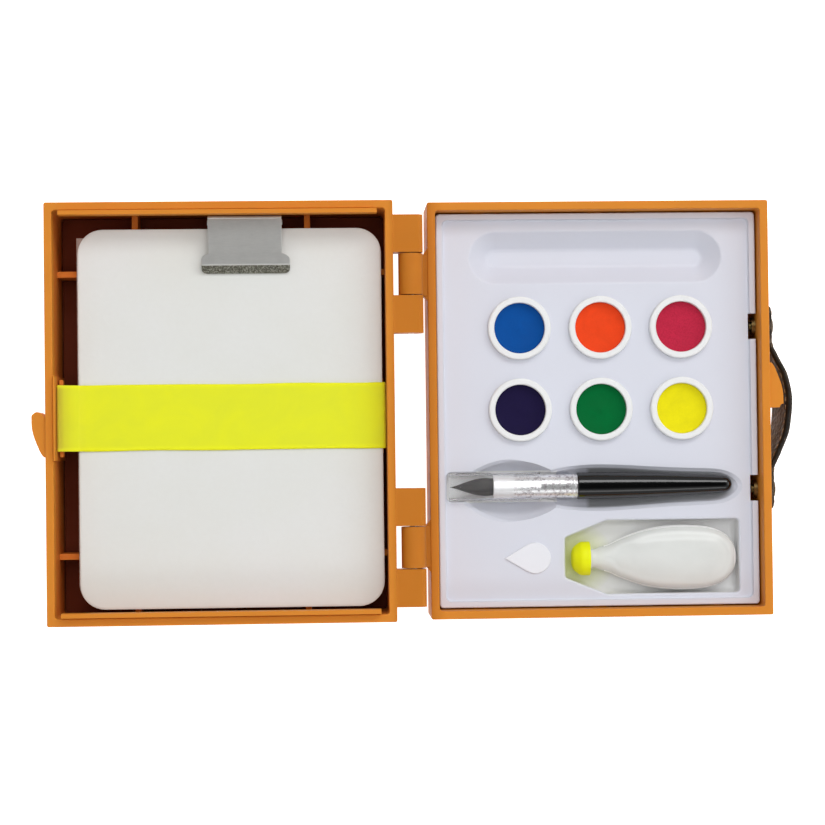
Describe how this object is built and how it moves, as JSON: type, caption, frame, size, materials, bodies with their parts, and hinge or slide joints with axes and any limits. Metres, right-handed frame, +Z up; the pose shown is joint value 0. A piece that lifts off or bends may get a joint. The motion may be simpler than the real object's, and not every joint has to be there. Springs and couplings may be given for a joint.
{
  "type": "miniature watercolor kit",
  "caption": "Pocket watercolor kit in a hinged plastic case: paper pad with clip and elastic strap in the lid, paint pans, brush and water bottle in a tray in the base.",
  "frame": {"origin": "centre of the open case's bounding box, on the surface it lies on", "axes": "+X from the lid half to the paint half, +Y along the hinge towards the clip end, +Z up out of the open case"},
  "size_m": [0.1554, 0.085, 0.0223],
  "materials": {
    "case_plastic": "satin moulded",
    "pin_steel": "drawn",
    "spring_steel": "drawn",
    "handle_leather": "pebbled",
    "rivet_brass": "polished",
    "backing_board": "plain",
    "watercolor_paper": "plain",
    "strap_elastic": "woven",
    "clip_steel": "brushed",
    "tray_plastic": "moulded",
    "marker_plastic": "moulded",
    "brush_lacquer": "gloss",
    "ferrule_chrome": "polished",
    "bristle_hair": "hair",
    "sleeve_clear": "clear",
    "bottle_translucent": "translucent",
    "cap_plastic": "moulded",
    "pan_plastic": "moulded",
    "paint_blue": "pressed cake",
    "paint_orange": "pressed cake",
    "paint_crimson": "pressed cake",
    "paint_violet": "pressed cake",
    "paint_green": "pressed cake",
    "paint_yellow": "pressed cake"
  },
  "bodies": {
    "base": {"right_case_half": "case_plastic", "handle_strap": "handle_leather", "handle_rivets": "rivet_brass", "rivet_washers": "rivet_brass"},
    "lid": {"left_case_half": "case_plastic", "hinge_pin_upper": "pin_steel", "hinge_pin_lower": "pin_steel", "elastic_strap": "strap_elastic", "strap_anchor_bars": "case_plastic"},
    "pad": {"pad_backing_board": "backing_board", "pad_sheets": "watercolor_paper", "clip_rear_plate": "clip_steel", "clip_pin": "pin_steel", "clip_spring": "spring_steel"},
    "clip_jaw": {"clip_front_jaw": "clip_steel"},
    "tray": {"paint_tray": "tray_plastic", "drop_marker": "marker_plastic"},
    "brush": {"brush_handle": "brush_lacquer", "brush_ferrule": "ferrule_chrome", "brush_bristles": "bristle_hair", "brush_sleeve": "sleeve_clear"},
    "bottle": {"water_bottle": "bottle_translucent"},
    "cap": {"bottle_cap": "cap_plastic"},
    "pan_blue": {"pan_cup_blue": "pan_plastic", "paint_cake_blue": "paint_blue"},
    "pan_orange": {"pan_cup_orange": "pan_plastic", "paint_cake_orange": "paint_orange"},
    "pan_crimson": {"pan_cup_crimson": "pan_plastic", "paint_cake_crimson": "paint_crimson"},
    "pan_violet": {"pan_cup_violet": "pan_plastic", "paint_cake_violet": "paint_violet"},
    "pan_green": {"pan_cup_green": "pan_plastic", "paint_cake_green": "paint_green"},
    "pan_yellow": {"pan_cup_yellow": "pan_plastic", "paint_cake_yellow": "paint_yellow"}
  },
  "joints": [
    {"name": "lid_hinge", "type": "hinge", "parent": "base", "child": "lid", "pos_m": [-0.0013, 0, 0.018], "axis": [0, -1, 0], "range_deg": [-180, 20]},
    {"name": "pad_lift", "type": "slide", "parent": "lid", "child": "pad", "axis": [0, 0, 1], "range_m": [0, 0.012], "deforming": ["elastic_strap"]},
    {"name": "clip_open", "type": "hinge", "parent": "pad", "child": "clip_jaw", "pos_m": [-0.03472, 0.03845, 0.01745], "axis": [-1, 0, 0], "range_deg": [0, 14]},
    {"name": "tray_lift", "type": "slide", "parent": "base", "child": "tray", "axis": [0, 0, 1], "range_m": [0, 0.012]},
    {"name": "pan_blue_lift", "type": "slide", "parent": "tray", "child": "pan_blue", "axis": [0, 0, 1], "range_m": [0, 0.01]},
    {"name": "pan_orange_lift", "type": "slide", "parent": "tray", "child": "pan_orange", "axis": [0, 0, 1], "range_m": [0, 0.01]},
    {"name": "pan_crimson_lift", "type": "slide", "parent": "tray", "child": "pan_crimson", "axis": [0, 0, 1], "range_m": [0, 0.01]},
    {"name": "pan_violet_lift", "type": "slide", "parent": "tray", "child": "pan_violet", "axis": [0, 0, 1], "range_m": [0, 0.01]},
    {"name": "pan_green_lift", "type": "slide", "parent": "tray", "child": "pan_green", "axis": [0, 0, 1], "range_m": [0, 0.01]},
    {"name": "pan_yellow_lift", "type": "slide", "parent": "tray", "child": "pan_yellow", "axis": [0, 0, 1], "range_m": [0, 0.01]},
    {"name": "brush_lift", "type": "slide", "parent": "tray", "child": "brush", "axis": [0, 0, 1], "range_m": [0, 0.014]},
    {"name": "bottle_lift", "type": "slide", "parent": "tray", "child": "bottle", "axis": [0, 0, 1], "range_m": [0, 0.014]},
    {"name": "cap_turn", "type": "hinge", "parent": "bottle", "child": "cap", "pos_m": [0.0337, -0.0308, 0.009], "axis": [-1, 0, 0], "range_deg": [0, 360]}
  ]
}
